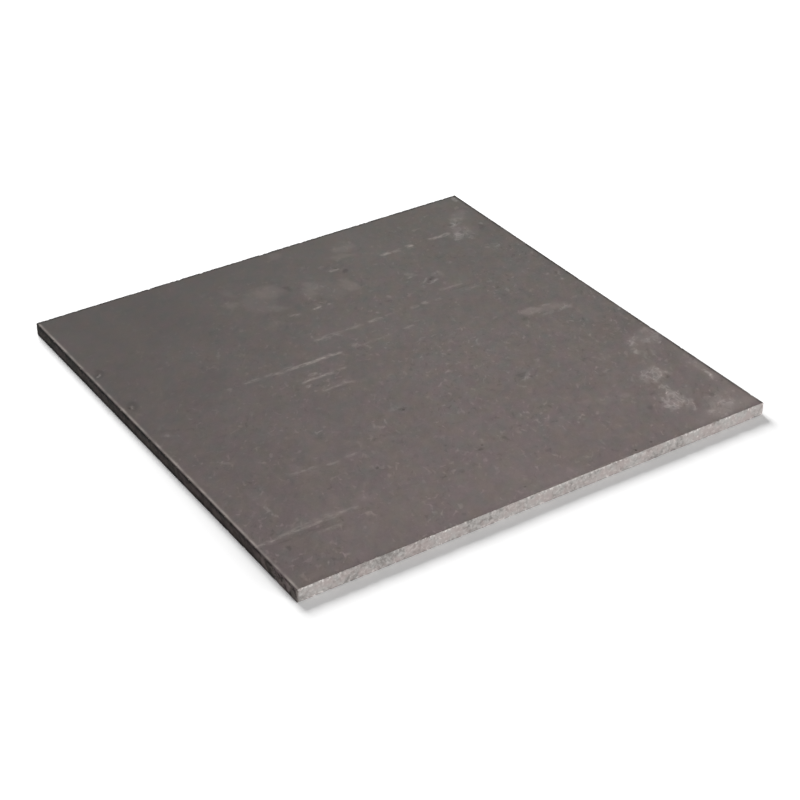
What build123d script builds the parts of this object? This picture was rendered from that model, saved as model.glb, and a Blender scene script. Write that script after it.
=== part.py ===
from build123d import *
import os
import random

# A square plate of moulded carbon. It was sawn through on its front and back sides, and ground
# flat on its two faces and its left and right sides. The origin is the middle of the underside.
# X runs along the front side, Y from the front side to the back one, and Z up through the
# thickness. Lengths are in millimetres.

# Driving dimensions
side_length = 300.0
thickness = 8.0
arris = 0.4            # leg of the narrow bevel rubbed along every long edge
upright_radius = 0.5   # rounding of the four upright corners

# The long worn stretch of the front arris, where the plate has been slid and set down
worn_middle = 22.0
worn_length = 104.0
worn_depth = 0.45

# Chips that the saw broke out of the front top arris: place along the side, width, depth
front_chips = [
    (-146.4, 4.0, 0.35),
    (-138.2, 2.6, 0.28),
    (-121.8, 3.4, 0.28),
    (-111.6, 3.6, 0.36),
    (-103.9, 4.6, 0.50),
    (-86.6, 3.0, 0.25),
    (-76.4, 2.6, 0.28),
    (-70.8, 4.2, 0.36),
    (-61.2, 5.2, 0.38),
    (-54.8, 3.8, 0.32),
    (-43.6, 4.2, 0.30),
    (-36.6, 3.4, 0.42),
    (36.0, 3.0, 0.30),
    (59.3, 3.2, 0.55),
    (91.6, 5.6, 0.28),
    (103.0, 3.2, 0.25),
    (128.4, 8.0, 0.48),
    (142.6, 4.0, 0.30),
]

# Flakes lifted off the front and left sides: place along the side, height, width, depth
front_flakes = [
    (-137.6, 5.2, 3.2, 0.30),
    (-106.2, 0.9, 3.0, 0.45),
    (-66.0, 4.2, 3.0, 0.30),
    (-36.2, 4.6, 3.6, 0.35),
    (-13.4, 0.7, 2.4, 0.40),
    (-7.6, 0.7, 2.2, 0.40),
    (81.6, 4.4, 4.0, 0.35),
    (102.6, 2.8, 2.2, 0.30),
]
left_flakes = [
    (-145.6, 3.0, 5.2, 0.50),
    (-136.8, 5.0, 3.4, 0.30),
    (-130.9, 2.6, 2.6, 0.25),
]

# Dents and open pores in the top face: place across, place along, width, depth
top_pits = [
    (32.0, 108.4, 2.6, 0.20),
    (-3.6, 73.6, 2.2, 0.18),
    (70.4, 62.6, 2.4, 0.22),
    (73.6, 65.4, 2.0, 0.20),
    (58.6, -57.2, 3.0, 0.25),
    (-4.0, -98.2, 2.2, 0.20),
    (-62.4, -85.6, 2.4, 0.20),
    (-20.2, -46.4, 2.0, 0.18),
    (61.6, -147.2, 1.8, 0.30),
    (73.4, -145.4, 2.2, 0.25),
    (-7.6, -141.6, 1.8, 0.18),
    (-145.2, 37.0, 2.2, 0.20),
    (-145.0, 77.0, 2.0, 0.18),
]

# Small chips scattered along every long edge: the saw left more of them than the grinding
small_chip_width = (1.4, 3.0)
small_chip_depth = (0.14, 0.28)
sawn_spacing = 9.0
sawn_low_spacing = 20.0
ground_spacing = 34.0
chips_seed = 11

# Each side: the way it faces, and the way its length is counted
half_side = side_length / 2
up = Vector(0, 0, 1)
front = (Vector(0, -1, 0), Vector(1, 0, 0))
right = (Vector(1, 0, 0), Vector(0, 1, 0))
back = (Vector(0, 1, 0), Vector(1, 0, 0))
left = (Vector(-1, 0, 0), Vector(0, 1, 0))


def blank():
    """The plate as it leaves the saw and the rubbing stone, with no damage."""
    slab = Box(side_length, side_length, thickness, align=(Align.CENTER, Align.CENTER, Align.MIN))
    slab = fillet(slab.edges().filter_by(Axis.Z), upright_radius)
    rims = slab.edges().group_by(Axis.Z)
    return chamfer(rims[0] + rims[-1], arris)


def shell_bite(place, outward, across, width, depth):
    """The ball that breaks a shallow shell out of the carbon at a place on its surface.

    Its poles lie across the outward direction and its seam faces out, clear of the cut."""
    radius = (width**2 / 4 + depth**2) / (2 * depth)
    centre = place + outward.normalized() * (radius - depth)
    return Plane(origin=centre, x_dir=outward, z_dir=across) * Sphere(radius)


def arris_bite(side, rim, along, width, depth):
    """A chip on the top arris of a side, where rim is 1, or on its bottom arris, where it is -1."""
    facing, run = side
    bevel_height = thickness / 2 + rim * (thickness - arris) / 2
    place = facing * (half_side - arris / 2) + run * along + up * bevel_height
    return shell_bite(place, facing + up * rim, run, width, depth)


def side_bite(side, along, height, width, depth):
    """A flake lifted off a side."""
    facing, run = side
    place = facing * half_side + run * along + up * height
    return shell_bite(place, facing, run, width, depth)


def top_bite(x, y, width, depth):
    """A dent or an open pore in the top face."""
    return shell_bite(Vector(x, y, thickness), up, Vector(1, 0, 0), width, depth)


def corner_bites():
    """Blunted upright corners: a bite high and a bite low on each, deepest on the front left one."""
    bites = []
    for facing_x in (-1, 1):
        for facing_y in (-1, 1):
            outward = Vector(facing_x, facing_y, 0)
            corner = outward * (half_side - 0.3 * upright_radius)
            depth = 0.7 if (facing_x, facing_y) == (-1, -1) else 0.2
            bites.append(shell_bite(corner + up * 0.8 * thickness, outward, up, 3.2, depth))
            bites.append(shell_bite(corner + up * 0.25 * thickness, outward, up, 2.4, 0.7 * depth))
    return bites


def scattered_chips(chance, side, rim, spacing, keep_clear=()):
    """Small chips along one arris, about a spacing apart and clear of the places given."""
    bites = []
    end_margin = 3.0
    along = -half_side + end_margin + chance.uniform(0.0, spacing)
    while along < half_side - end_margin:
        width = chance.uniform(*small_chip_width)
        depth = chance.uniform(*small_chip_depth)
        if all(abs(along - place) > (width + other) / 2 for place, other in keep_clear):
            bites.append(arris_bite(side, rim, along, width, depth))
        along += width + chance.uniform(0.3, 1.7) * spacing
    return bites


def front_damage(chance):
    """The sawn front side, which shows the most breakage."""
    bites = [arris_bite(front, 1, worn_middle, worn_length, worn_depth)]
    bites += [arris_bite(front, 1, *chip) for chip in front_chips]
    bites += [side_bite(front, *flake) for flake in front_flakes]
    taken = [(along, width) for along, width, depth in front_chips]
    bites += scattered_chips(chance, front, 1, sawn_spacing, taken)
    bites += scattered_chips(chance, front, -1, sawn_low_spacing)
    return bites


def other_damage(chance):
    """The sawn back side, the left side by the front corner, and a few chips on the ground sides."""
    bites = [side_bite(left, *flake) for flake in left_flakes]
    bites += scattered_chips(chance, back, 1, sawn_spacing)
    bites += scattered_chips(chance, back, -1, sawn_low_spacing)
    for side in (left, right):
        for rim in (1, -1):
            bites += scattered_chips(chance, side, rim, ground_spacing)
    return bites


chance = random.Random(chips_seed)
damage = front_damage(chance) + other_damage(chance) + corner_bites()
damage += [top_bite(*pit) for pit in top_pits]
carbon_plate = blank() - damage

os.makedirs("parts", exist_ok=True)
export_step(carbon_plate, "parts/carbon_plate.step")
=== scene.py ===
import math
import bpy
import numpy as np
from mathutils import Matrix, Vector, noise
from mathutils.bvhtree import BVHTree
from mathutils.geometry import delaunay_2d_cdt


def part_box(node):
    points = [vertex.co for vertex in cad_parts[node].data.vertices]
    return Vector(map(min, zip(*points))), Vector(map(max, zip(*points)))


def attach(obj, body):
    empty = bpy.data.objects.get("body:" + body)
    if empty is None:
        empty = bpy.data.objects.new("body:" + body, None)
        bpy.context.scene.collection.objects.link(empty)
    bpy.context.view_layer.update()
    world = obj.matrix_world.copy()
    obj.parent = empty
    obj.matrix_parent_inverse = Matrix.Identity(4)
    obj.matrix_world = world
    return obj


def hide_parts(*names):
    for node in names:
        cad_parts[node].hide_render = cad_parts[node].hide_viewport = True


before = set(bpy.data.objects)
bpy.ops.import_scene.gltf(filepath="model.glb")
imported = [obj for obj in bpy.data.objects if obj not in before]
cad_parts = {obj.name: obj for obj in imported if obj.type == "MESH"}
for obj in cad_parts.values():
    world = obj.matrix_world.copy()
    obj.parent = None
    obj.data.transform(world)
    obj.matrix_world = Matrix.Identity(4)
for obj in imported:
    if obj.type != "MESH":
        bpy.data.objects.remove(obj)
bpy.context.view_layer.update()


# The plate's edges
# One slab of moulded carbon, ground on its two faces and its left and right sides, and sawn on
# its front and back sides. A fine skin follows the solid with its chips, worn stretch and pits,
# and the small crumbling that a saw leaves along an arris is added to it.
mm = 0.001
up = Vector((0, 0, 1))
plate_low, plate_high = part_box("carbon_plate")
half_side = (plate_high.x - plate_low.x) / 2
thickness = plate_high.z - plate_low.z
bevel = 0.4 * mm
corner_radius = 0.5 * mm
least_radius = 0.2 * mm              # of the upright corners, where the rows run inside them
run_steps = 500                      # stations along each side, 0.6 mm apart
corner_steps = 4
face_insets = [2.0 * mm, 1.4 * mm, 0.9 * mm, 0.6 * mm]
bevel_steps = 3
side_steps = 11

crumb_size = 1.7 * mm                # the crumbs that leave an arris
crumb_patch = 7 * mm                 # the stretches that crumble more or less
crumb_reach = 0.85 * mm
corner_reach = 2.5 * mm              # the crumbling fades this near to an upright corner
corner_share = 0.15                  # and this share of it is left there
crumb_loss = (0.10 * mm, 0.80 * mm)  # lost by a ground arris and by a sawn one, for noise of 1
crumb_start = 0.1                    # noise below this leaves the arris whole
back_damage = 0.35                   # how much of the front side's damage the cleaner back side has
grit_size = Vector((1.5, 1.5, 2.4)) * mm
grit_depth = (0.03 * mm, 0.12 * mm)  # the roughness of a ground side and a sawn one, for noise of 1
grit_level = 0.5                     # how far the middle of the roughness is sunk, in the same noise
octaves = 3                          # layers of noise, each finer than the last by the step
octave_step = 2.0
crumb_fade, grit_fade = 0.7, 0.8     # how fast the finer layers weaken
patch_share = 0.7                    # how much the patches count beside the crumbs themselves

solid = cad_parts["carbon_plate"]
solid_surface = BVHTree.FromObject(solid, bpy.context.evaluated_depsgraph_get())


def ring(inset, height, steps):
    """The points round the plate at one inset and height, each with the way its side faces."""
    radius = max(corner_radius - inset, least_radius)
    run = half_side - inset - radius
    points = []
    for quarter in range(4):
        turn = quarter * math.pi / 2
        facing = Vector((math.sin(turn), -math.cos(turn), 0))
        along = Vector((math.cos(turn), math.sin(turn), 0))
        for step in range(steps):
            reach = run * (2 * step / steps - 1)
            points.append((facing * (run + radius) + along * reach + up * height, facing))
        for step in range(corner_steps):
            angle = turn + math.pi / 2 * step / corner_steps
            outward = Vector((math.sin(angle), -math.cos(angle), 0))
            points.append(((facing + along) * run + outward * radius + up * height, outward))
    return points


def section():
    """Inset, height and part of each row of points, from the top face down to the underside."""
    rows = [(inset, thickness, "face") for inset in face_insets]
    for step in range(bevel_steps + 1):
        share = step / bevel_steps
        rows.append((bevel * (1 - share), thickness - bevel * share, "bevel"))
    for step in range(1, side_steps):
        share = step / side_steps
        rows.append((0.0, thickness - bevel - (thickness - 2 * bevel) * share, "side"))
    lower = [(inset, thickness - height, part) for inset, height, part in rows if part != "side"]
    return rows + lower[::-1]


def arris_share(inset, height, reach):
    """How near a place is to an arris, from 0 to 1, fading over the reach given."""
    from_rim = np.abs(height - thickness / 2) - (thickness - bevel) / 2
    return np.exp(-((np.hypot(inset - bevel / 2, from_rim) / reach) ** 2))


def between(ends, share):
    """The value that lies a share of the way from the first end to the second."""
    return ends[0] + (ends[1] - ends[0]) * share


def crumbled(point, facing, on_side, inset, height):
    """Where a point of the ideal plate lies on the worn one."""
    sawn_share = -facing.y if facing.y < 0 else back_damage * facing.y
    resting, _, _, _ = solid_surface.find_nearest(point)
    crumbs = noise.fractal(point / crumb_size, crumb_fade, octave_step, octaves)
    crumbs += patch_share * noise.noise(point / crumb_patch)
    near_arris = arris_share(inset, height, crumb_reach)
    from_corner = half_side - min(abs(point.x), abs(point.y))
    near_arris *= min(max(from_corner / corner_reach, corner_share), 1.0)
    loss = max(0.0, crumbs - crumb_start) * between(crumb_loss, sawn_share) * near_arris
    out_of_arris = (facing + (up if height > thickness / 2 else -up)).normalized()
    worn = resting - out_of_arris * loss
    if on_side:
        scaled = Vector([place / size for place, size in zip(point, grit_size)])
        grit = grit_level + noise.fractal(scaled, grit_fade, octave_step, octaves)
        worn -= facing * max(0.0, grit * between(grit_depth, sawn_share))
    return worn


points = []
gone = []                    # how much of the ideal plate is gone at each point, in millimetres
rows = section()
for inset, height, part in rows:
    for point, facing in ring(inset, height, run_steps):
        worn = crumbled(point, facing, part == "side", inset, height)
        points.append(worn)
        gone.append((point - worn).length / mm)
stations = len(points) // len(rows)

faces = []
sawn_faces = []
for row in range(len(rows) - 1):
    on_edge = "face" not in (rows[row][2], rows[row + 1][2])
    for station in range(stations):
        beside = (station + 1) % stations
        first, second = row * stations, (row + 1) * stations
        corners = (first + station, second + station, second + beside, first + beside)
        turn = (row + station) % 2           # the triangles' diagonals alternate, so none line up
        faces.append((corners[turn], corners[turn + 1], corners[(turn + 2) % 4]))
        faces.append((corners[turn], corners[(turn + 2) % 4], corners[(turn + 3) % 4]))
        quarter = station // (run_steps + corner_steps)
        sawn_faces += [on_edge and quarter in (0, 2)] * 2    # the front and the back


# The top face's marks
# Rubs, smudges and hazes that handling has left on the ground face, paler where the carbon is
# burnished and darker, with strengths below 0, where dust sits or a grain is out. Each is a listed
# patch: the place of its middle, length and width in millimetres, turn in degrees, strength.
streaks = [
    (-90, 23.8, 4, 3, 0, 0.2),
    (-75, 24.4, 12, 4, 0, 0.3),
    (-63, 24.4, 9, 4, 0, 0.2),
    (-56, 23.0, 10, 3.5, 0, 0.4),
    (-38, 23.5, 34, 3.4, 0, 0.75),
    (-20, 23.7, 9, 3, 0, 0.5),
    (-6, 25.3, 6, 4.5, 0, 0.5),
    (8, 24.0, 24, 3, 0, 0.15),
    (31, 25.6, 9, 3, 0, 0.3),
    (-14, 42.6, 22, 4.5, 0, 0.33),
    (3, 42.8, 16, 4, 0, 0.25),
    (19, 43.0, 11, 3, 0, 0.6),
    (31, 44.0, 10, 3, 0, 0.15),
    (47, 43.0, 7, 4, 0, 0.2),
    (54.5, 43.7, 5, 3.6, 0, 0.65),
    (63.5, 43.0, 6, 3, 0, 0.25),
    (79, 51.0, 18, 2.6, 0, 0.25),
    (84, 47.3, 19, 2.2, 0, -0.35),
    (89, 43.2, 11, 3, 0, 0.2),
    (-42, 7.8, 23, 2.6, 0, 0.65),
    (-43, 12.0, 7, 3, 0, 0.4),
    (-26, 8.0, 7, 3, 0, 0.3),
    (-37, -6.0, 22, 2, 0, 0.45),
    (-36, -8.4, 11, 2, 0, -0.35),
    (-143.5, -109.5, 14, 3, 0, 0.45),
    (-131, -108.8, 14, 4, 0, 0.4),
    (-113, -109.2, 30, 3.0, 0, 0.4),
    (-113, -106.5, 36, 5, 0, 0.22),
    (-95, -108.0, 14, 3, 0, 0.35),
    (-126, -113.4, 34, 2.6, 0, -0.4),
    (-110, -116.5, 18, 3, 0, 0.3),
    (-96, -66, 18, 3, -5, 0.35),
    (-79.5, -68.6, 8, 2.6, 0, 0.3),
    (-67, -67.6, 8, 3, 0, 0.35),
    (30, 107.5, 8, 3.6, 0, 0.4),
    (68, 107.4, 9, 4, 0, 0.6),
    (75.5, 107.0, 7, 4.5, 0, 0.3),
    (86, 107.5, 6, 5, 0, 0.6),
    (109, 107.8, 18, 3.8, 0, 0.65),
    (-18, 74.2, 8, 3, -15, 0.3),
    (-2, 74, 7, 3, 10, 0.6),
    (6, 74, 3, 2.4, 0, 0.4),
    (66, 74.8, 10, 2.6, 0, 0.4),
]
smudges = [
    (146, 145, 8, 4, 84, 0.9),
    (129, 119, 12, 10, 44, 0.5),
    (124, 116, 8, 6, 53, 0.6),
    (125, 106, 16, 13, 41, 0.45),
    (119, 101, 14, 8, 55, 0.6),
    (126, 98, 9, 7, -25, 0.4),
    (139, 104, 9, 4, 80, -0.6),
    (141, 108, 6, 4, 40, 0.5),
    (130, 80, 14, 6, -19, 0.55),
    (35.5, 104, 5, 3, 74, -0.8),
    (-5.5, 103, 8, 3.4, -76, -0.6),
    (70, 66, 11, 2.4, 45, 0.7),
    (74, 65.5, 9, 3, 35, -0.5),
    (74, 62.4, 10, 3, 15, 0.7),
    (80.5, 69, 10, 7, 0, 0.35),
    (40.5, 61, 4, 3, 45, 0.6),
    (38, 57.5, 4, 3, 0, -0.4),
    (128, 42.5, 9, 6, 20, 0.3),
    (141.5, 21, 6, 3, 25, 0.6),
    (144, 29, 5, 2.6, 45, 0.5),
    (100, 3.5, 8, 4, 53, 0.5),
    (103, 0.5, 10, 7, 14, 0.3),
    (114, 2, 8, 3.4, -6, 0.65),
    (121, -7, 15, 4, 10, 0.6),
    (110, -6, 12, 5, 0, 0.4),
    (90.5, -10, 3, 7, 0, 0.4),
    (93.3, -4, 5, 3, 20, -0.5),
    (128, -31, 22, 2.4, -15, -0.2),
    (145, -57, 22, 9, -85, 0.5),
    (135, -57, 9, 5, 49, 0.7),
    (129, -60, 8, 4, 49, 0.7),
    (125, -70, 6, 5, 50, 0.8),
    (138, -63, 9, 5, 20, 0.6),
    (143, -69, 4, 3, 34, 0.7),
    (129, -76, 15, 6, 18, 0.4),
    (131, -74, 12, 2.6, 64, -0.5),
    (116, -94, 20, 15, 35, 0.8),
    (124, -94, 14, 4, -73, 0.6),
    (123, -100, 4, 3, 45, -0.7),
    (112, -98, 4, 3, 48, -0.6),
    (115, -108, 14, 6, 62, 0.7),
    (110, -120, 20, 15, 40, 1.0),
    (105, -126, 11, 5, -31, 0.6),
    (115, -129, 15, 8, 62, 0.8),
    (118, -130, 9, 2.6, 60, -0.6),
    (112, -132, 8, 2.6, 59, -0.5),
    (132, -128, 6, 3.4, 47, -0.6),
    (129, -139, 26, 17, 35, 0.5),
    (134, -138, 10, 8, 15, 0.4),
    (120, -142, 8, 6, 20, 0.5),
    (145.5, -103, 36, 6, 88, 0.4),
    (144, -111, 13, 2.6, 77, 1.0),
    (91, -102, 8, 6, 41, 0.35),
    (94, -120, 5, 3, 39, -0.5),
    (57, -56, 8, 5, 49, 0.6),
    (55.5, -53, 8, 3, 20, -0.6),
    (72.5, -46, 2.4, 8, -25, 0.5),
    (48.5, -65, 5, 3, 0, 0.5),
    (-128.5, -88, 2.8, 17, 8, 0.6),
    (-144, 78, 11, 7, 55, -0.7),
    (-144.6, 77, 5, 2.2, 62, 2.0),
    (-143, 38, 12, 8, 55, -0.7),
    (-144.2, 37, 5, 2.2, 62, 1.4),
    (-139, 0.5, 12, 4.5, -25, 0.5),
    (-137, 5.5, 14, 3, -25, -0.3),
    (-126, -37.5, 12, 2.4, -38, 0.4),
    (-54.5, -78, 6, 5, 20, 0.4),
    (-22, -44, 5, 3, 30, 0.5),
    (-20.4, -46, 4, 3, 0, -0.6),
    (-7.5, -101, 4, 2.4, 10, -0.8),
    (-1.4, -94.5, 2.4, 6, -30, 0.5),
    (-136.7, -118, 2.6, 4, 0, -0.7),
    (10, -98.8, 4, 3, 0, -0.6),
    (-51, 2.6, 4, 4.5, 0, 0.5),
]
hazes = [
    (136, 124, 20, 11, 25, 0.38),
    (125, 106, 24, 20, 41, 0.22),
    (49, 128, 19, 10, 5, 0.38),
    (44, 119, 19, 5, -16, 0.38),
    (28, 87, 17, 10, -86, 0.45),
    (36, 87, 11, 3, 58, -0.38),
    (4, 94, 24, 10, 59, 0.45),
    (15, 88, 27, 20, -74, 0.19),
    (-17, 106, 21, 17, -14, 0.3),
    (-26, 100, 31, 26, 68, 0.22),
    (-15, 90, 14, 8, 61, -0.22),
    (-21, 86, 12, 9, -38, 0.26),
    (-45, 105, 10, 8, 66, 0.38),
    (-38, 118, 12, 8, 65, 0.22),
    (9, 143, 10, 9, 67, 0.3),
    (-33, 72, 9, 7, 2, 0.22),
    (-36, 82, 7, 7, 0, -0.22),
    (141, -60, 22, 16, 60, 0.3),
    (118, -92, 34, 24, 35, 0.25),
    (110, -120, 34, 24, 35, 0.25),
    (130, -138, 34, 20, 25, 0.2),
    (145, -103, 60, 10, 88, 0.34),
    (102, 1, 13, 9, 14, 0.8),
    (113, -1, 16, 7, -6, 0.4),
    (121, -4, 14, 7, -20, 0.4),
    (104, -65, 8, 7, 0, 0.3),
    (79, -100, 12, 10, 20, 0.3),
    (69, -95, 9, 6, -26, 0.22),
    (-127, -77, 7, 14, 0, 0.3),
    (-79, -104, 16, 8, 10, 0.26),
    (-63, -88, 12, 7, 0, -0.26),
    (58, -53, 11, 8, 48, 0.3),
    (126, -144, 50, 12, 0, 0.6),
    (136, -136, 30, 24, 0, 0.35),
    (133, -66, 26, 22, 60, 0.25),
    (0, -145, 70, 7, 0, 0.2),
]
mark_edge = 1.15                     # where a mark has faded away, in its half sizes


def nearness(places, mark, squareness):
    """How far each place is from a mark's middle, counted in the mark's own half sizes."""
    x, y, length, width, turn, _ = mark
    angle = math.radians(turn)
    across, away = places[:, 0] - x, places[:, 1] - y
    lengthwise = (across * math.cos(angle) + away * math.sin(angle)) / (length / 2)
    crosswise = (away * math.cos(angle) - across * math.sin(angle)) / (width / 2)
    return np.sqrt(np.abs(lengthwise) ** squareness + crosswise ** 2)


def strength(places, marks, squareness, fade):
    """The marks' summed strength at each place, falling off over a fade of their half sizes."""
    total = np.zeros(len(places))
    for mark in marks:
        inside = np.clip((mark_edge - nearness(places, mark, squareness)) / fade, 0, 1)
        total += mark[-1] * inside * inside * (3 - 2 * inside)
    return total


# The plate's two faces
# Flat ground faces, laid in as triangles inside the edge: fine where the top face has marks and
# pits, and wide elsewhere. The dark marks are dents, so the skin dips there.
fine_pitch = 0.9                     # the spacings of the points, in millimetres
middle_pitch = 2.7
wide_pitch = 6.3
lattice_shift = 0.13                 # keeps the grid off the points of the pits' own rims
mark_core = 1.2                      # the fine points' reach round a crisp mark, in its half sizes
mark_margin = 2.4                    # and the middle ones'
haze_margin = 1.4                    # the middle points' reach round a haze
inner_rings = ((2.7, run_steps // 2), (3.9, run_steps // 4), (6.0, run_steps // 8))
pit_margin = 2.4 * mm                # pits this near the edge are left to the edge's own points
deepest_pit = 0.6 * mm
dent_start = 0.25                    # how dark a mark is before it is a dent
dent_depth = 0.14 * mm               # a dent's depth for each 1 of strength beyond that
pit_painted_shade = 4                     # painted shade: how much darker a pit is for each millimetre of its depth
top_skin = 1.0 * mm                  # the marks lie on what is this near the top
wander_size = 5 * mm                 # the length of the waves in the marks' outlines
rub_waver, smear_waver, haze_waver = 0.5, 1.6, 2.5    # and how far they swing, in millimetres
wander_seed = 1                      # without a seed the waves would differ from run to run
inside_outline = 1                   # lays triangles inside the outline only
weld_distance = 1e-4


def lattice(pitch, reach):
    """A square grid of places on the face, in millimetres."""
    count = int(reach / pitch)
    line = np.arange(-count, count + 1) * pitch + lattice_shift
    across, away = np.meshgrid(line, line)
    return np.column_stack([across.ravel(), away.ravel()])


def wanted_pitch(places, crisp, soft):
    """The spacing that a face's points need at each place, near crisp marks and soft ones."""
    pitch = np.full(len(places), wide_pitch)
    for mark in soft:
        pitch[nearness(places, mark, squareness=2) < haze_margin] = middle_pitch
    for mark in crisp:
        pitch[nearness(places, mark, squareness=2) < mark_margin] = middle_pitch
    for mark in crisp:
        pitch[nearness(places, mark, squareness=2) < mark_core] = fine_pitch
    return pitch


def inner_places(crisp, soft, solid_places):
    """The places inside the edge where a face gets its points."""
    reach = (half_side - face_insets[0]) / mm
    groups = []
    for pitch in (fine_pitch, middle_pitch, wide_pitch):
        grid = lattice(pitch, reach - pitch)
        groups.append(grid[wanted_pitch(grid, crisp, soft) == pitch])
    for inset, steps in inner_rings:
        groups.append(np.array([point.xy / mm for point, _ in ring(inset * mm, 0, steps)]))
    if len(solid_places):
        groups.append(solid_places)
    return np.vstack(groups)


def lay_face(outline, places, height, facing_up):
    """Triangles between the points of an outline and new points at the places given."""
    first = len(points)
    loop = [points[index].xy / mm for index in outline]
    inside = [Vector(place) for place in places]
    whole_loop = [list(range(len(loop)))]
    made = delaunay_2d_cdt(loop + inside, [], whole_loop, inside_outline, weld_distance)
    index_of = []
    for place, sources in zip(made[0], made[3]):
        source = sources[0] if sources else -1
        if 0 <= source < len(loop):
            index_of.append(outline[source])
            continue
        point = Vector((place.x * mm, place.y * mm, height))
        resting, _, _, _ = solid_surface.find_nearest(point)
        index_of.append(len(points))
        points.append(resting)
        gone.append((point - resting).length / mm)
    for corners in made[2]:
        corners = [index_of[corner] for corner in corners]
        faces.append(tuple(corners if facing_up else corners[::-1]))
        sawn_faces.append(False)
    return first


def on_top_face(place):
    """Whether a point of the solid is in the top face, pits included, and clear of its edges."""
    clear_of_edges = max(abs(place.x), abs(place.y)) < half_side - pit_margin
    return clear_of_edges and place.z > thickness - deepest_pit


corners_of_solid = [vertex.co for vertex in solid.data.vertices]
solid_places = np.array([corner.xy / mm for corner in corners_of_solid if on_top_face(corner)])
top_outline = list(range(stations))
low_outline = [(len(rows) - 1) * stations + station for station in range(stations)]
top_places = inner_places(streaks + smudges, hazes, solid_places)
top_first = lay_face(top_outline, top_places, thickness, True)
low_first = lay_face(low_outline, inner_places([], [], []), 0.0, False)

x, y, z = np.array([point[:] for point in points]).T
on_top = z > thickness - top_skin
noise.seed_set(wander_seed)
wander = np.array([noise.noise_vector(point / wander_size)[:2] for point in points])
flat_places = np.column_stack([x, y]) / mm
rub = strength(flat_places + rub_waver * wander, streaks, squareness=6, fade=1.0)
smear_and_pit_shade = strength(flat_places + smear_waver * wander, smudges, squareness=2, fade=0.6)
haze = strength(flat_places + haze_waver * wander, hazes, squareness=3, fade=0.6)
rub, smear_and_pit_shade, haze = [np.where(on_top, layer, 0) for layer in (rub, smear_and_pit_shade, haze)]
# The dark marks sink the skin into dents, and the pits get painted shade, darker the deeper they are.
for index in range(top_first, low_first):
    points[index] = points[index] - up * max(0.0, -dent_start - smear_and_pit_shade[index]) * dent_depth
    smear_and_pit_shade[index] -= pit_painted_shade * gone[index]
    gone[index] = 0

# Along the left rim and the worn stretch of the front one runs a paler line, burnish with a painted
# highlight of the arris. Along the others runs a darker line: painted shade along the right and back
# rims, strongest towards the back, and a darker band inside the front rim.
worn_middle = 22 * mm                # the solid's worn stretch, and half its length
worn_half_length = 52 * mm
worn_fade = 1.3                      # where its burnish has faded away, in half lengths
left_burnish_and_highlight = 0.6
front_burnish_and_highlight = (0.15, 0.60)         # away from the worn stretch, and on it
left_inset, left_reach = 0.8 * mm, 0.7 * mm
front_inset, front_reach = 0.7 * mm, 0.8 * mm
burnish_and_highlight_skin = 0.05 * mm           # only what is this near the top gets the burnish and painted highlight
rim_shade = (1.2, 2.4)                    # painted shade, at the front end and at the back end of the right rim
rim_shade_reach = 1.4 * mm
# A darker band just inside the front arris.
front_dark_band, front_dark_band_reach = 0.3, 2.2 * mm
rim_patch = 6 * mm                   # the patches in which the rims' pale and dark lines are stronger or weaker
rim_level, rim_swing = 0.75, 0.9     # how strong the rims' lines are on the whole, and how much that varies

worn_stretch = np.clip(worn_fade - np.abs(x - worn_middle) / worn_half_length, 0, 1)
# Burnish and painted highlight along the left arris and the front one.
burnish_and_highlight_rim = left_burnish_and_highlight * arris_share(half_side + x - left_inset, z, left_reach)
front_arris_burnish_and_highlight = arris_share(half_side + y - front_inset, z, front_reach)
burnish_and_highlight_rim += between(front_burnish_and_highlight, worn_stretch) * front_arris_burnish_and_highlight
burnish_and_highlight_rim *= z > thickness - burnish_and_highlight_skin
# Painted shade along the right and back arrises, strongest towards the back.
dark_rim = arris_share(half_side - x, z, rim_shade_reach) + arris_share(half_side - y, z, rim_shade_reach)
dark_rim *= between(rim_shade, (1 + y / half_side) / 2)
dark_rim += front_dark_band * arris_share(half_side + y, z, front_dark_band_reach)
patchy = np.array([noise.noise(point / rim_patch) for point in points])
rim = (burnish_and_highlight_rim - dark_rim) * (rim_level + rim_swing * patchy)

plate_mesh = bpy.data.meshes.new("plate")
plate_mesh.from_pydata(points, [], faces)
plate_mesh.polygons.foreach_set("use_smooth", [True] * len(faces))
plate_mesh.polygons.foreach_set("material_index", [int(sawn) for sawn in sawn_faces])
for name, values in (("gone", gone), ("rim", rim), ("rub", rub), ("smear_and_pit_shade", smear_and_pit_shade), ("haze", haze)):
    layer = plate_mesh.attributes.new(name, "FLOAT", "POINT")
    layer.data.foreach_set("value", np.array(values, np.float32))
plate_mesh.update()
plate = bpy.data.objects.new("plate", plate_mesh)
bpy.context.scene.collection.objects.link(plate)
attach(plate, "root")
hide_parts("carbon_plate")


# Ground carbon
# Fine-grained moulded carbon, ground on a flat stone: a matte warm grey with a sandy grain, a
# cloudy tone and faint feed lines along X. Where an edge is broken it is paler than the skin.
ground_colour = "#6B6060"
cool_colour = "#63615E"
ochre_colour = "#6D645A"
broken_colour = "#958D88"
burnish_and_highlight_colour = "#ADA49E"
hazed_colour = "#8C827E"
smudged_colour = "#A8A3A0"
dust_and_shade_colour = "#332F2D"
cloud_size = 38          # slow changes of density across the moulded block
hue_size = 8             # patches of pinker and greener carbon
mottle_size = 5.2
cluster_size = 17        # the patches in which pores and proud grains gather
speck_size = 2.9         # pores and proud grains, drawn coarser than most real ones, under 1 mm
grain_size = 1.0         # the sandy grain, drawn coarser than the real 0.1 mm, which wouldn't show
feed_size = Vector((40, 0.9, 0.9))   # the grinding's feed lines, which run along X
dash_size = Vector((3.6, 1.5, 1.5))  # the broken strokes within a rub
grain_lie = 1.6          # how much longer than wide the block's grain lies, after its moulding
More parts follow.
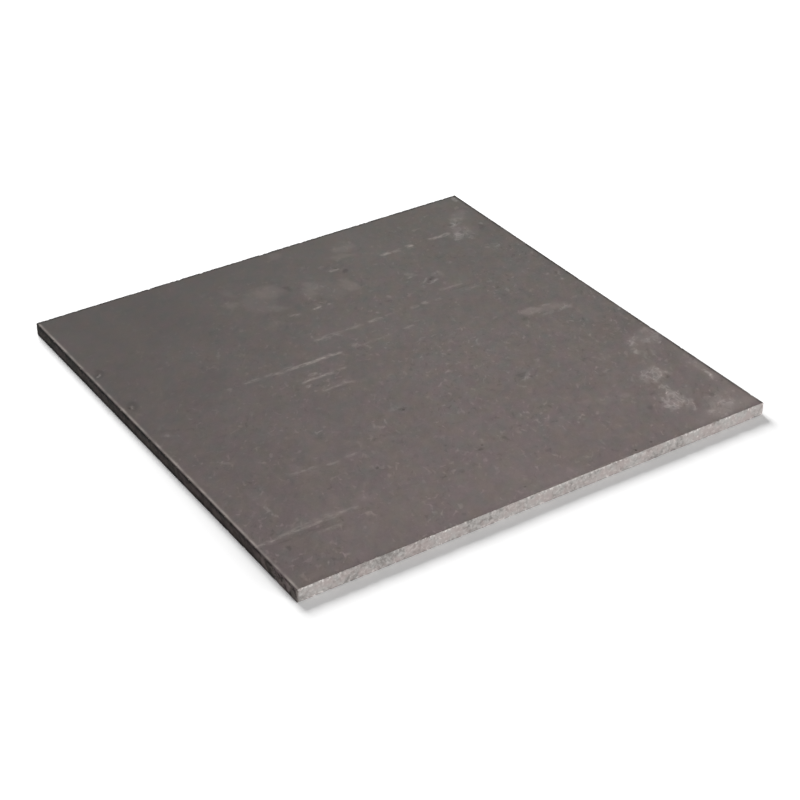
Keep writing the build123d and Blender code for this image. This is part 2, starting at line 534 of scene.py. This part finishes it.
flake_size = 4.2         # the ragged flakes of a smudge
half_thickness = thickness / 2 / mm


def linear(code):
    """A colour written as sRGB hex, in the linear values that the shader needs."""
    parts = [int(code[start:start + 2], 16) / 255 for start in (1, 3, 5)]
    curved = [part / 12.92 if part <= 0.04045 else ((part + 0.055) / 1.055) ** 2.4 for part in parts]
    return curved + [1]


def add(tree, kind, inputs, **settings):
    """Adds a node with its settings, and sets or links each of its inputs."""
    made = tree.nodes.new(kind)
    for name, value in settings.items():
        setattr(made, name, value)
    for socket, value in inputs.items():
        if isinstance(value, bpy.types.Node):
            value = value.outputs[0]
        if isinstance(value, bpy.types.NodeSocket):
            tree.links.new(value, made.inputs[socket])
        else:
            made.inputs[socket].default_value = value
    return made


def new_material(name):
    """An empty material, with the place on the surface in millimetres as its first node."""
    made = bpy.data.materials.new(name)
    made.use_nodes = True
    tree = made.node_tree
    tree.nodes.clear()
    where = add(tree, "ShaderNodeTexCoord", {}).outputs["Object"]
    place = add(tree, "ShaderNodeVectorMath", {0: where, "Scale": 1 / mm}, operation="SCALE")
    return made, tree, place


def off_middle(tree, height):
    """How far a place lies above or below the middle of the thickness, in millimetres."""
    lifted = add(tree, "ShaderNodeMath", {0: height, 1: half_thickness}, operation="SUBTRACT")
    return add(tree, "ShaderNodeMath", {0: lifted}, operation="ABSOLUTE")


ground, tree, place = new_material("ground_moulded_carbon")
height_and_depth = add(tree, "ShaderNodeSeparateXYZ", {0: place})
across_grain = add(tree, "ShaderNodeVectorMath", {0: place, 1: (0.84, -0.54, 0)},
                   operation="DOT_PRODUCT")
along_grain = add(tree, "ShaderNodeVectorMath",
                  {0: place, 1: (0.54 / grain_lie, 0.84 / grain_lie, 0)}, operation="DOT_PRODUCT")
pressed = add(tree, "ShaderNodeCombineXYZ",
              {0: across_grain.outputs["Value"], 1: along_grain.outputs["Value"],
               2: height_and_depth.outputs["Z"]})

# The skin's tone: clouds all over, and a mottle, grain, pores and proud grains that show more
# towards the front right.
clouds = add(tree, "ShaderNodeTexNoise",
             {"Vector": place, "Scale": 1 / cloud_size, "Detail": 4, "Roughness": 0.55})
mottle = add(tree, "ShaderNodeTexNoise",
             {"Vector": pressed, "Scale": 1 / mottle_size, "Detail": 3, "Roughness": 0.6,
              "Distortion": 0.4})
clusters = add(tree, "ShaderNodeTexNoise", {"Vector": place, "Scale": 1 / cluster_size, "Detail": 2})
specks = add(tree, "ShaderNodeTexNoise",
             {"Vector": pressed, "Scale": 1 / speck_size, "Detail": 1, "Roughness": 0.5,
              "Distortion": 0.4})
grain = add(tree, "ShaderNodeTexNoise",
            {"Vector": pressed, "Scale": 1 / grain_size, "Detail": 2, "Roughness": 0.6})
feed_place = add(tree, "ShaderNodeVectorMath", {0: place, 1: feed_size}, operation="DIVIDE")
feed = add(tree, "ShaderNodeTexNoise",
           {"Vector": feed_place, "Scale": 1, "Detail": 3, "Roughness": 0.6})

cloud_tone = add(tree, "ShaderNodeMapRange",
                 {"Value": clouds, "From Min": 0.3, "From Max": 0.7, "To Min": -0.045, "To Max": 0.045})
mottle_tone = add(tree, "ShaderNodeMapRange",
                  {"Value": mottle, "From Min": 0.35, "From Max": 0.65,
                   "To Min": -0.055, "To Max": 0.055})
grain_tone = add(tree, "ShaderNodeMapRange",
                 {"Value": grain, "From Min": 0.3, "From Max": 0.7, "To Min": -0.025, "To Max": 0.025})
feed_tone = add(tree, "ShaderNodeMapRange",
                {"Value": feed, "From Min": 0.25, "From Max": 0.75, "To Min": -0.012, "To Max": 0.012})
proud_grains = add(tree, "ShaderNodeMapRange", {"Value": specks, "From Min": 0.60, "From Max": 0.76})
open_pores = add(tree, "ShaderNodeMapRange", {"Value": specks, "From Min": 0.40, "From Max": 0.22})
speck_height = add(tree, "ShaderNodeMath", {0: open_pores, 1: -0.5, 2: proud_grains},
                   operation="MULTIPLY_ADD")
cluster_share = add(tree, "ShaderNodeMapRange",
                    {"Value": clusters, "From Min": 0.4, "From Max": 0.65, "To Min": 0.3, "To Max": 1.5})
smear_and_pit_shade_value = add(tree, "ShaderNodeAttribute", {}, attribute_name="smear_and_pit_shade").outputs["Fac"]
haze_value = add(tree, "ShaderNodeAttribute", {}, attribute_name="haze").outputs["Fac"]
pale_smear = add(tree, "ShaderNodeMath", {0: smear_and_pit_shade_value, 1: 0.0}, operation="MAXIMUM")
cluster_share = add(tree, "ShaderNodeMath", {0: pale_smear, 1: 2.0, 2: cluster_share},
                    operation="MULTIPLY_ADD")
cluster_share = add(tree, "ShaderNodeMath", {0: haze_value, 1: 1.0, 2: cluster_share},
                    operation="MULTIPLY_ADD")
speck_height = add(tree, "ShaderNodeMath", {0: speck_height, 1: cluster_share}, operation="MULTIPLY")
toward_right = add(tree, "ShaderNodeVectorMath", {0: place, 1: (0.45, -0.9, 0)},
                   operation="DOT_PRODUCT")
coarse = add(tree, "ShaderNodeMapRange",
             {"Value": toward_right.outputs["Value"], "From Min": -150, "From Max": 40,
              "To Min": 0.14, "To Max": 1.06})
tone = add(tree, "ShaderNodeMath", {0: mottle_tone, 1: grain_tone}, operation="ADD")
tone = add(tree, "ShaderNodeMath", {0: speck_height, 1: 0.28, 2: tone}, operation="MULTIPLY_ADD")
tone = add(tree, "ShaderNodeMath", {0: tone, 1: coarse, 2: cloud_tone}, operation="MULTIPLY_ADD")
tone = add(tree, "ShaderNodeMath", {0: tone, 1: feed_tone}, operation="ADD")

# Painted shade: the plate is darker towards its back left corner and towards the back, and lighter
# towards the front, as the light falls.
toward_left = add(tree, "ShaderNodeVectorMath", {0: place, 1: (-0.906, 0.423, 0)},
                  operation="DOT_PRODUCT")
back_left_painted_shade = add(tree, "ShaderNodeMapRange",
                  {"Value": toward_left.outputs["Value"], "From Min": -40, "From Max": 160,
                   "To Min": 0.92, "To Max": 0.675}, interpolation_type="SMOOTHSTEP")
tone = add(tree, "ShaderNodeMath", {0: tone, 1: back_left_painted_shade}, operation="ADD")
front_to_back_painted_shade = add(tree, "ShaderNodeMapRange",
                 {"Value": height_and_depth.outputs["Y"], "From Min": -150, "From Max": 150,
                  "To Min": 0.155, "To Max": -0.155})
tone = add(tree, "ShaderNodeMath", {0: tone, 1: front_to_back_painted_shade}, operation="ADD")

# Painted shade on the ground left and right sides: darker than the faces, darkest along their top
# and bottom borders, and painted light by the front corners, where they are also blotched.
normal = add(tree, "ShaderNodeNewGeometry", {}).outputs["Normal"]
facing = add(tree, "ShaderNodeSeparateXYZ", {0: normal})
on_side = add(tree, "ShaderNodeMapRange",
              {"Value": facing.outputs["Z"], "From Min": 0.2, "From Max": 0.85,
               "To Min": 1, "To Max": 0})
blotched = add(tree, "ShaderNodeMapRange",
               {"Value": height_and_depth.outputs["Y"], "From Min": -110, "From Max": -130,
                "To Min": 0.4, "To Max": 2.3})
# Painted shade over most of a side's length, and painted light by its front corner.
side_shade = add(tree, "ShaderNodeMapRange",
                 {"Value": height_and_depth.outputs["Y"], "From Min": -110, "From Max": -130,
                  "To Min": -0.32, "To Max": 0.5})
side_tone_and_shade = add(tree, "ShaderNodeMapRange",
                {"Value": mottle, "From Min": 0.40, "From Max": 0.60, "To Min": -0.3, "To Max": 0.8})
side_tone_and_shade = add(tree, "ShaderNodeMath", {0: side_tone_and_shade, 1: blotched, 2: side_shade},
                operation="MULTIPLY_ADD")
# Painted shade along a side's top and bottom borders, and painted light in the middle of its height.
border_painted_shade = add(tree, "ShaderNodeMapRange",
                  {"Value": off_middle(tree, height_and_depth.outputs["Z"]),
                   "From Min": 1.2, "From Max": 3.2, "To Min": 0.26, "To Max": -0.40})
side_tone_and_shade = add(tree, "ShaderNodeMath", {0: side_tone_and_shade, 1: border_painted_shade}, operation="ADD")
tone = add(tree, "ShaderNodeMath", {0: side_tone_and_shade, 1: on_side, 2: tone}, operation="MULTIPLY_ADD")

# Its hue: greener towards the back, with patches of pinker, greener and yellower carbon.
hue = add(tree, "ShaderNodeTexNoise",
          {"Vector": pressed, "Scale": 1 / hue_size, "Detail": 2, "Roughness": 0.5})
other_hue = add(tree, "ShaderNodeSeparateColor", {0: hue.outputs["Color"]}).outputs[1]
toward_back = add(tree, "ShaderNodeVectorMath", {0: place, 1: (0.4, 0.92, 0)}, operation="DOT_PRODUCT")
cool_share = add(tree, "ShaderNodeMapRange",
                 {"Value": toward_back.outputs["Value"], "From Min": -130, "From Max": 150,
                  "To Min": -0.95, "To Max": -0.4})
cool_share = add(tree, "ShaderNodeMath", {0: hue, 1: 2.2, 2: cool_share},
                 operation="MULTIPLY_ADD", use_clamp=True)
ochre_share = add(tree, "ShaderNodeMapRange",
                  {"Value": other_hue, "From Min": 0.40, "From Max": 0.65, "To Min": 0, "To Max": 0.35})
skin = add(tree, "ShaderNodeMix", {0: cool_share, 6: linear(ground_colour), 7: linear(cool_colour)},
           data_type="RGBA").outputs[2]
skin = add(tree, "ShaderNodeMix",
           {0: ochre_share, 6: skin, 7: linear(ochre_colour)}, data_type="RGBA").outputs[2]
skin = add(tree, "ShaderNodeVectorMath", {0: skin, "Scale": tone}, operation="SCALE")

# The marks on it: rubs made of short dashes, flaky smudges and even hazes, painted shade in the
# pits, the rims' paler line of burnish and painted highlight and their darker lines, painted shade
# at the right and back, and the paler carbon where the skin is gone.
rub_value = add(tree, "ShaderNodeAttribute", {}, attribute_name="rub").outputs["Fac"]
dash_place = add(tree, "ShaderNodeVectorMath", {0: place, 1: dash_size}, operation="DIVIDE")
dashes = add(tree, "ShaderNodeTexNoise",
             {"Vector": dash_place, "Scale": 1, "Detail": 3, "Roughness": 0.6})
dash_share = add(tree, "ShaderNodeMapRange",
                 {"Value": dashes, "From Min": 0.37, "From Max": 0.63, "To Min": 0.25, "To Max": 1.45})
rub_share = add(tree, "ShaderNodeMath", {0: rub_value, 1: dash_share}, operation="MULTIPLY")
flakes = add(tree, "ShaderNodeTexNoise",
             {"Vector": pressed, "Scale": 1 / flake_size, "Detail": 1, "Roughness": 0.6,
              "Distortion": 0.5})
filled = add(tree, "ShaderNodeMath", {0: pale_smear, 1: 0.3, 2: flakes}, operation="MULTIPLY_ADD")
filled = add(tree, "ShaderNodeMapRange",
             {"Value": filled, "From Min": 0.50, "From Max": 0.72, "To Min": 0.2, "To Max": 1.0})
crease = add(tree, "ShaderNodeMath", {0: flakes, 1: 0.5}, operation="SUBTRACT")
crease = add(tree, "ShaderNodeMath", {0: crease}, operation="ABSOLUTE")
crease = add(tree, "ShaderNodeMapRange",
             {"Value": crease, "From Min": 0.0, "From Max": 0.08, "To Min": 1.45, "To Max": 0.65})
smear_share = add(tree, "ShaderNodeMath", {0: pale_smear, 1: filled}, operation="MULTIPLY")
smear_share = add(tree, "ShaderNodeMath", {0: smear_share, 1: crease}, operation="MULTIPLY")
smear_tone = add(tree, "ShaderNodeMath", {0: smear_share, 1: 0.28, 2: 1.0}, operation="MULTIPLY_ADD")
skin = add(tree, "ShaderNodeVectorMath", {0: skin, "Scale": smear_tone}, operation="SCALE")
rim_value = add(tree, "ShaderNodeAttribute", {}, attribute_name="rim").outputs["Fac"]
for value, gain, colour in (
        (haze_value, 0.4, hazed_colour), (haze_value, -0.25, dust_and_shade_colour),
        (rub_share, 0.5, burnish_and_highlight_colour), (rub_share, -0.5, dust_and_shade_colour),
        (smear_share, 0.23, smudged_colour), (smear_and_pit_shade_value, -0.5, dust_and_shade_colour),
        (rim_value, 0.8, burnish_and_highlight_colour), (rim_value, -0.8, dust_and_shade_colour)):
    share = add(tree, "ShaderNodeMath", {0: value, 1: gain}, operation="MULTIPLY", use_clamp=True)
    skin = add(tree, "ShaderNodeMix",
               {0: share, 6: skin, 7: linear(colour)}, data_type="RGBA").outputs[2]
gone_value = add(tree, "ShaderNodeAttribute", {}, attribute_name="gone").outputs["Fac"]
broken = add(tree, "ShaderNodeMapRange", {"Value": gone_value, "From Min": 0.08, "From Max": 0.3})
skin = add(tree, "ShaderNodeMix",
           {0: broken, 6: skin, 7: linear(broken_colour)}, data_type="RGBA").outputs[2]

relief = add(tree, "ShaderNodeMath", {0: grain, 1: 0.25, 2: speck_height}, operation="MULTIPLY_ADD")
relief = add(tree, "ShaderNodeMath", {0: relief, 1: coarse}, operation="MULTIPLY")
relief = add(tree, "ShaderNodeMath", {0: smear_share, 1: 0.3, 2: relief}, operation="MULTIPLY_ADD")
relief = add(tree, "ShaderNodeBump", {"Height": relief, "Strength": 0.45, "Distance": 0.3 * mm})
surface = add(tree, "ShaderNodeBsdfPrincipled",
              {"Base Color": skin, "Roughness": 0.75, "Specular IOR Level": 0.1, "Normal": relief})
add(tree, "ShaderNodeOutputMaterial", {"Surface": surface})
plate_mesh.materials.append(ground)


# Sawn carbon
# The front and back sides as the saw left them: torn grain, paler and rougher than the ground
# skin, with darker hollows, patches of pinker carbon, and bright crumbs along the arrises; by the
# lower arris the crumbs' paleness is also painted light that lifts the shade under its bevel.
sawn_colour = "#BBB7B4"
hollow_colour = "#938E8B"
pink_colour = "#B4A3A0"
crumb_and_light_colour = "#EAE4E0"
tear_size = 3.0          # the hollows where the saw tore grains out
patch_size = 14          # the stretches that tore more or less
pink_size = 7            # patches of pinker carbon
crumb_grain = 1.7        # the bright crumbs

sawn, tree, place = new_material("sawn_moulded_carbon")
tear = add(tree, "ShaderNodeTexNoise",
           {"Vector": place, "Scale": 1 / tear_size, "Detail": 3, "Roughness": 0.7, "Distortion": 0.2})
patches = add(tree, "ShaderNodeTexNoise", {"Vector": place, "Scale": 1 / patch_size, "Detail": 2})
tear_share = add(tree, "ShaderNodeMath", {0: patches, 1: 0.65, 2: tear}, operation="MULTIPLY_ADD")
tear_share = add(tree, "ShaderNodeMapRange", {"Value": tear_share, "From Min": 0.66, "From Max": 0.86})
skin = add(tree, "ShaderNodeMix", {0: tear_share, 6: linear(hollow_colour), 7: linear(sawn_colour)},
           data_type="RGBA").outputs[2]
pinks = add(tree, "ShaderNodeTexNoise", {"Vector": place, "Scale": 1 / pink_size, "Detail": 2})
pink_share = add(tree, "ShaderNodeMapRange",
                 {"Value": pinks, "From Min": 0.42, "From Max": 0.62, "To Min": 0, "To Max": 0.5})
skin = add(tree, "ShaderNodeMix",
           {0: pink_share, 6: skin, 7: linear(pink_colour)}, data_type="RGBA").outputs[2]
crumbs = add(tree, "ShaderNodeTexNoise", {"Vector": place, "Scale": 1 / crumb_grain, "Detail": 2})
crumb_and_light_share = add(tree, "ShaderNodeMapRange", {"Value": crumbs, "From Min": 0.54, "From Max": 0.64})
gone_value = add(tree, "ShaderNodeAttribute", {}, attribute_name="gone").outputs["Fac"]
broken = add(tree, "ShaderNodeMapRange",
             {"Value": gone_value, "From Min": 0.12, "From Max": 0.4, "To Min": 0.25, "To Max": 1.0})
height = add(tree, "ShaderNodeSeparateXYZ", {0: place}).outputs["Z"]
# Crumbs gather near both arrises; by the lower one their paleness is also painted light under the bevel.
by_the_arris = add(tree, "ShaderNodeMapRange",
                   {"Value": off_middle(tree, height), "From Min": 1.8, "From Max": 3.6,
                    "To Min": 0, "To Max": 1.0})
loose_share = add(tree, "ShaderNodeMapRange",
                  {"Value": patches, "From Min": 0.4, "From Max": 0.6, "To Min": 0.3, "To Max": 1.15})
by_the_arris = add(tree, "ShaderNodeMath", {0: by_the_arris, 1: loose_share}, operation="MULTIPLY")
broken = add(tree, "ShaderNodeMath", {0: broken, 1: by_the_arris}, operation="MAXIMUM")
crumb_and_light_share = add(tree, "ShaderNodeMath", {0: broken, 1: crumb_and_light_share}, operation="MULTIPLY")
deep_chip = add(tree, "ShaderNodeMapRange",
                {"Value": gone_value, "From Min": 0.3, "From Max": 0.5, "To Min": 0, "To Max": 0.5})
crumb_and_light_share = add(tree, "ShaderNodeMath", {0: crumb_and_light_share, 1: deep_chip}, operation="MAXIMUM")
skin = add(tree, "ShaderNodeMix",
           {0: crumb_and_light_share, 6: skin, 7: linear(crumb_and_light_colour)}, data_type="RGBA").outputs[2]
relief = add(tree, "ShaderNodeBump", {"Height": tear, "Strength": 0.5, "Distance": 0.4 * mm})
surface = add(tree, "ShaderNodeBsdfPrincipled",
              {"Base Color": skin, "Roughness": 0.85, "Specular IOR Level": 0.15, "Normal": relief})
add(tree, "ShaderNodeOutputMaterial", {"Surface": surface})
plate_mesh.materials.append(sawn)


# Studio floor
# A plain white sheet that the plate lies on. It keeps the plate's shadow, and fades to plain
# white away from it.
floor_size = 8.0                     # in metres
shadow_kept = 230                    # the sheet starts to fade this far from the plate's middle
all_white = 420                      # and is plain white here, in millimetres


def looked_at(tree):
    """1 where the eye looks, straight, in a shine or through glass, and 0 for light on its way."""
    path = add(tree, "ShaderNodeLightPath", {})
    seen = add(tree, "ShaderNodeMath",
               {0: path.outputs["Is Camera Ray"], 1: path.outputs["Is Glossy Ray"]},
               operation="MAXIMUM")
    return add(tree, "ShaderNodeMath",
               {0: seen, 1: path.outputs["Is Transmission Ray"]}, operation="MAXIMUM")


bpy.ops.mesh.primitive_plane_add(size=floor_size)
floor = bpy.context.object
floor.name = "studio_floor"
paper, tree, place = new_material("white_studio_paper")
seen = looked_at(tree)
distance = add(tree, "ShaderNodeVectorMath", {0: place}, operation="LENGTH").outputs["Value"]
toward_lamp = add(tree, "ShaderNodeVectorMath", {0: place, 1: (0.32, -0.95, 0)},
                  operation="DOT_PRODUCT")
level = add(tree, "ShaderNodeMapRange",
            {"Value": toward_lamp.outputs["Value"], "From Min": -200, "From Max": 200,
             "To Min": 0.16, "To Max": 0.03})
plain = add(tree, "ShaderNodeMapRange",
            {"Value": distance, "From Min": shadow_kept, "From Max": all_white,
             "To Min": level, "To Max": 1},
            interpolation_type="SMOOTHSTEP")
lit = add(tree, "ShaderNodeBsdfDiffuse", {"Color": (1, 1, 1, 1)})
glow = add(tree, "ShaderNodeEmission", {"Color": (1, 1, 1, 1), "Strength": plain})
white = add(tree, "ShaderNodeAddShader", {0: lit, 1: glow})
dull = add(tree, "ShaderNodeBsdfDiffuse", {"Color": (0.2, 0.2, 0.2, 1)})
surface = add(tree, "ShaderNodeMixShader", {0: seen, 1: dull, 2: white})
add(tree, "ShaderNodeOutputMaterial", {"Surface": surface})
floor.data.materials.append(paper)


# Studio light
# One large soft lamp low in front on the right lights the sawn side and leaves the left side
# dark, and one behind lays a soft shadow in front of the plate, over a weak even fill.
side = 2 * half_side
lamp_size = 5 * side
lamp_distance = 12 * side


def soft_lamp(name, direction, power):
    """A large square lamp that faces the plate from a direction."""
    data = bpy.data.lights.new(name, "AREA")
    data.shape = "SQUARE"
    data.size = lamp_size
    data.energy = power
    lamp = bpy.data.objects.new(name, data)
    lamp.location = Vector(direction).normalized() * lamp_distance
    lamp.rotation_mode = "QUATERNION"
    lamp.rotation_quaternion = lamp.location.to_track_quat("Z", "Y")
    bpy.context.scene.collection.objects.link(lamp)


soft_lamp("key_lamp", direction=(0.30, -0.93, 0.21), power=90)
soft_lamp("back_lamp", direction=(0.05, 0.78, 0.61), power=150)

world = bpy.data.worlds.new("studio")
bpy.context.scene.world = world
world.use_nodes = True
tree = world.node_tree
tree.nodes.clear()
seen = looked_at(tree)
fill = add(tree, "ShaderNodeBackground", {"Color": (1, 1, 1, 1), "Strength": 0.22})
blank = add(tree, "ShaderNodeBackground", {"Color": (1, 1, 1, 1), "Strength": 1})
either = add(tree, "ShaderNodeMixShader", {0: seen, 1: fill, 2: blank})
add(tree, "ShaderNodeOutputWorld", {"Surface": either})


# Camera
# It stands in front on the left, a little under four side lengths away, and looks down on the
# plate, as in the photograph.
yaw = math.radians(33.33)
pitch = math.radians(33.11)
stand = Vector((-1.7014, -2.6280, 1.981)) * side    # from the middle of the plate's underside
picture_width = 800                  # in pixels
focal_pixels = 1940.0
camera_data = bpy.data.cameras.new("camera")
camera = bpy.data.objects.new("camera", camera_data)
bpy.context.scene.collection.objects.link(camera)
camera.location = stand
look = Vector((math.sin(yaw) * math.cos(pitch), math.cos(yaw) * math.cos(pitch), -math.sin(pitch)))
camera.rotation_mode = "QUATERNION"
camera.rotation_quaternion = look.to_track_quat("-Z", "Y")
camera_data.sensor_width = 36
camera_data.lens = focal_pixels / picture_width * camera_data.sensor_width
bpy.context.scene.camera = camera
bpy.context.scene.view_settings.view_transform = "Standard"
